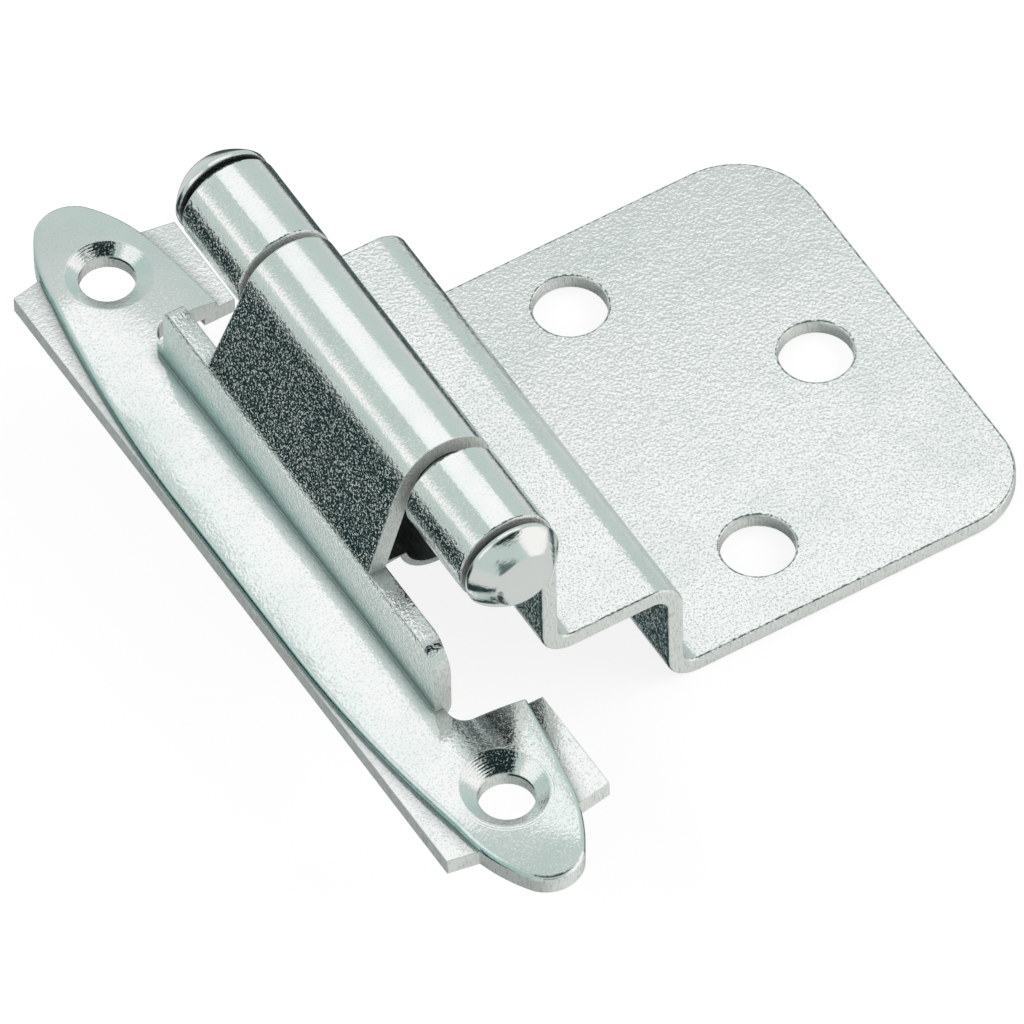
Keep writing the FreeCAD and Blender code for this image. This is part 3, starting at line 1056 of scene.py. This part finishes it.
@dataclass
class ClosingSpring(FinerPiece):
    """Bowed strip whose tip pushes on the pin's flat, and gives way as the pin turns."""

    node: str = "closing_spring"
    body: str = "frame_side"
    slot: str = "spring_steel"
    joint: str = "door_swing"
    strip: float = 0.5 * MM
    bow: float = 2.85 * MM
    foot_drop: float = 0.6 * MM
    tip_turn: float = 45.0
    bow_steps: int = 40
    pressed: float = 0.914
    easing: Easing = Easing(0.06 * MM)
    finish: SpringStrip = field(default_factory=SpringStrip)

    def centre_line(self, low: Vector, high: Vector) -> list[Station]:
        """The strip's middle, seen along the pin, from its foot round the bow to its tip.

        Args:
            low: The lowest corner of the spring's box.
            high: The highest corner of the spring's box.

        Returns:
            The stations along it.
        """
        half = self.strip / 2
        outer = self.bow + half
        across, up = high.x - outer, low.z + outer
        tip_turn = math.radians(self.tip_turn)
        start = math.pi + math.asin(self.foot_drop / self.bow)
        sweep = 2 * math.pi + tip_turn - start
        line = [Station(low.x, up - self.foot_drop, 0.0)]
        for step in range(self.bow_steps + 1):
            turn = start + sweep * step / self.bow_steps
            line.append(Station(across + self.bow * math.cos(turn), up + self.bow * math.sin(turn),
                                turn + math.pi / 2))
        heading = tip_turn + math.pi / 2
        last = line[-1]
        reach = (high.z - half * math.sin(tip_turn) - last.z) / math.sin(heading)
        line.append(Station(last.x + reach * math.cos(heading), last.z + reach * math.sin(heading),
                            heading))
        return line

    def section(self, station: Station, near: float, far: float) -> list[Point]:
        """The strip's four corners at one place.

        Args:
            station: The place.
            near: The strip's near edge along Y.
            far: The strip's far edge along Y.

        Returns:
            The corners.
        """
        half = self.strip / 2
        aside, up = half * math.sin(station.heading), -half * math.cos(station.heading)
        corners = ((1, near), (1, far), (-1, far), (-1, near))
        return [(station.x + side * aside, y, station.z + side * up) for side, y in corners]

    def build(self) -> bpy.types.Object:
        """Bends the strip and dresses it.

        Returns:
            The new spring.
        """
        low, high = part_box(self.node)
        rings = [self.section(station, low.y, high.y) for station in self.centre_line(low, high)]
        mesh = self.easing.round_over("bowed_spring", skinned("spring_strip", rings))
        spring = self.stand_in("bowed_spring", mesh, self.finish.make("spring_finish"))
        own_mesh(spring)
        return spring


def toward(bearing: float, height: float) -> Vector:
    """The direction of a bearing and height in degrees; bearing 0 is +Y and 90 is +X.

    Args:
        bearing: The bearing round the hinge.
        height: The height above the floor's plane.

    Returns:
        The direction, one metre long.
    """
    turn, lift = math.radians(bearing), math.radians(height)
    return Vector((math.sin(turn) * math.cos(lift), math.cos(turn) * math.cos(lift), math.sin(lift)))


@dataclass(frozen=True)
class Softbox:
    """A soft lamp at a bearing and height, with its width and height as angles in degrees."""

    name: str
    bearing: float
    height: float
    width: float
    tall: float
    glow: float
    tint: Colour = (1.0, 0.995, 0.985)
    distance: float = 1.2
    target: Point = (0.0, 0.0, 0.0)
    mirrored: bool = False

    def hang(self) -> None:
        """Adds the lamp, facing its target."""
        lamp = bpy.data.lights.new(self.name, "AREA")
        lamp.shape = "RECTANGLE"
        lamp.size = 2 * self.distance * math.tan(math.radians(self.width / 2))
        lamp.size_y = 2 * self.distance * math.tan(math.radians(self.tall / 2))
        lamp.energy = self.glow * math.pi * lamp.size * lamp.size_y
        lamp.color = self.tint
        item = bpy.data.objects.new(self.name, lamp)
        aim = toward(self.bearing, self.height)
        item.rotation_euler = aim.to_track_quat("Z", "Y").to_euler()
        item.location = Vector(self.target) + aim * self.distance
        item.visible_camera = False
        item.visible_glossy = self.mirrored
        bpy.context.scene.collection.objects.link(item)


@dataclass(frozen=True)
class Zone:
    """A lighter or darker part of the room, by bearing and height in degrees."""

    bearing: float
    wide: float
    low: float
    high: float
    soft: float
    light: Colour

    def mask(self, graph: Graph, x: Socket, y: Socket, height: Socket) -> Socket:
        """Where the zone lies.

        Args:
            graph: The world's graph.
            x: The direction's part along X.
            y: The direction's part along Y.
            height: The direction's height in radians.

        Returns:
            A socket that is 1 in the zone.
        """
        turn, soft = math.radians(self.bearing), math.radians(self.soft)
        aside = graph.calc("SUBTRACT", graph.calc("MULTIPLY", x, math.cos(turn)),
                           graph.calc("MULTIPLY", y, math.sin(turn)))
        ahead = graph.calc("ADD", graph.calc("MULTIPLY", x, math.sin(turn)),
                           graph.calc("MULTIPLY", y, math.cos(turn)))
        away = graph.calc("ABSOLUTE", graph.calc("ARCTAN2", aside, ahead))
        half = math.radians(self.wide / 2)
        across = graph.ramp(away, Span(half - soft / 2, half + soft / 2), 1.0, 0.0)
        middle = math.radians((self.low + self.high) / 2)
        off = graph.calc("ABSOLUTE", graph.calc("SUBTRACT", height, middle))
        tall = math.radians((self.high - self.low) / 2)
        level = graph.ramp(off, Span(tall - soft / 2, tall + soft / 2), 1.0, 0.0)
        return graph.calc("MULTIPLY", across, level)


@dataclass(frozen=True)
class Room:
    """What the metal mirrors: a grey-green room whose later zones cover its earlier ones."""

    colour: Colour = (0.53, 0.62, 0.59)
    white: Colour = (1.0, 1.0, 1.0)
    zones: tuple[Zone, ...] = (
        # the pale lower half, dark under the frame side and low on the door side
        Zone(bearing=0.0, wide=360.0, low=-90.0, high=0.0, soft=8.0, light=(0.63, 0.66, 0.645)),
        Zone(bearing=-80.0, wide=140.0, low=-90.0, high=-36.0, soft=8.0, light=(0.02, 0.045, 0.044)),
        Zone(bearing=57.0, wide=80.0, low=-60.0, high=-15.0, soft=8.0, light=(0.05, 0.08, 0.078)),
        # a black card low past the frame side's far end, crossed by a thin grey line
        Zone(bearing=-57.0, wide=50.0, low=-36.0, high=-4.5, soft=3.0, light=(0.012, 0.03, 0.029)),
        Zone(bearing=-57.0, wide=60.0, low=-12.5, high=-9.0, soft=2.0, light=(0.14, 0.18, 0.175)),
        # a dim card level with the near end, and a black one high above it
        Zone(bearing=-165.0, wide=36.0, low=-4.0, high=22.0, soft=6.0, light=(0.1, 0.15, 0.145)),
        Zone(bearing=180.0, wide=122.0, low=50.0, high=77.0, soft=6.0, light=(0.01, 0.022, 0.021)),
        # a pale card high past the far end, and a white card on each side
        Zone(bearing=22.0, wide=46.0, low=36.0, high=70.0, soft=7.0, light=(0.58, 0.63, 0.61)),
        Zone(bearing=-73.0, wide=46.0, low=20.0, high=58.0, soft=6.0, light=(0.99, 0.985, 0.965)),
        Zone(bearing=122.0, wide=56.0, low=-10.0, high=46.0, soft=8.0, light=(0.97, 0.96, 0.945)),
    )

    def paint(self) -> None:
        """Makes the world, which the camera sees as white."""
        world = bpy.data.worlds.new("room")
        world.use_nodes = True
        bpy.context.scene.world = world
        graph = Graph(world.node_tree)
        x, y, z = graph.split(graph.lookup("Generated"))
        height = graph.calc("ARCSINE", z)
        light: Shade = self.colour
        for zone in self.zones:
            light = graph.blend(zone.mask(graph, x, y, height), light, zone.light)
        room = graph.add("ShaderNodeBackground")
        graph.tint(room.inputs["Color"], light)
        surround = graph.add("ShaderNodeBackground")
        graph.tint(surround.inputs["Color"], self.white)
        output = graph.add("ShaderNodeOutputWorld")
        graph.feed(output.inputs["Surface"], graph.for_camera(room.outputs[0], surround.outputs[0]))


@dataclass
class Studio:
    """Pale floor, mirrored room and soft lamps."""

    floor_half: float = 3.0
    floor_gap: float = 0.05 * MM
    floor_finish: WhiteFloor = field(default_factory=WhiteFloor)
    room: Room = field(default_factory=Room)
    lamps: tuple[Softbox, ...] = (
        Softbox("lamp_back", bearing=14.0, height=64.0, width=46.0, tall=28.0, glow=0.4,
                tint=(1.0, 0.92, 0.95), distance=0.2, target=(0.035, 0.0, -0.007), mirrored=True),
        Softbox("lamp_left", bearing=-68.0, height=40.0, width=44.0, tall=26.0, glow=6.0),
        Softbox("lamp_right", bearing=122.0, height=30.0, width=46.0, tall=44.0, glow=5.0),
    )

    def build(self) -> None:
        """Lights and stages the scene."""
        self.lay_floor()
        self.room.paint()
        for lamp in self.lamps:
            lamp.hang()

    def lay_floor(self) -> None:
        """Adds the floor just under the hinge's lowest point."""
        level = cad_box[0].z - self.floor_gap
        half = self.floor_half
        mesh = bpy.data.meshes.new("floor")
        corners = [(-half, -half, level), (half, -half, level), (half, half, level), (-half, half, level)]
        mesh.from_pydata(corners, [], [(0, 1, 2, 3)])
        mesh.materials.append(self.floor_finish.make("pale_floor"))
        floor = bpy.data.objects.new("floor", mesh)
        bpy.context.scene.collection.objects.link(floor)
        floor.visible_glossy = False


@dataclass(frozen=True)
class LongLens:
    """The camera, far off on a very long lens: angles in degrees, sensor and lens in millimetres."""

    bearing: float = 210.292
    height: float = 51.646
    roll: float = -1.195
    target: Point = (0.012026, -0.008097, 0.005)
    distance: float = 2.1672
    sensor: float = 36.0
    lens: float = 1090.441
    clip_start: float = 0.1
    clip_end: float = 50.0

    def place(self) -> None:
        """Adds the camera and makes it the scene's own."""
        data = bpy.data.cameras.new("camera")
        data.sensor_width = self.sensor
        data.lens = self.lens
        data.clip_start = self.clip_start
        data.clip_end = self.clip_end
        camera = bpy.data.objects.new("camera", data)
        bpy.context.scene.collection.objects.link(camera)
        roll = math.radians(self.roll)
        back = toward(self.bearing, self.height)
        level = Vector((0.0, 0.0, 1.0)).cross(back).normalized()
        side = level * math.cos(roll) + back.cross(level) * math.sin(roll)
        turned = Matrix((side, back.cross(side), back)).transposed().to_4x4()
        camera.matrix_world = Matrix.Translation(Vector(self.target) + back * self.distance) @ turned
        bpy.context.scene.camera = camera


def main() -> None:
    """Builds and dresses each sub-assembly, then lights and frames the hinge."""
    logging.basicConfig(level=logging.INFO, format="%(message)s")
    for part in (FrameWing(), DoorLeaf(), HingePin(), ClosingSpring()):
        piece = part.build()
        log.info("%s dressed: %d faces", piece.name, len(piece.data.polygons))
    Studio().build()
    LongLens().place()
    bpy.context.scene.view_settings.view_transform = "Standard"


if __name__ == "__main__":
    main()
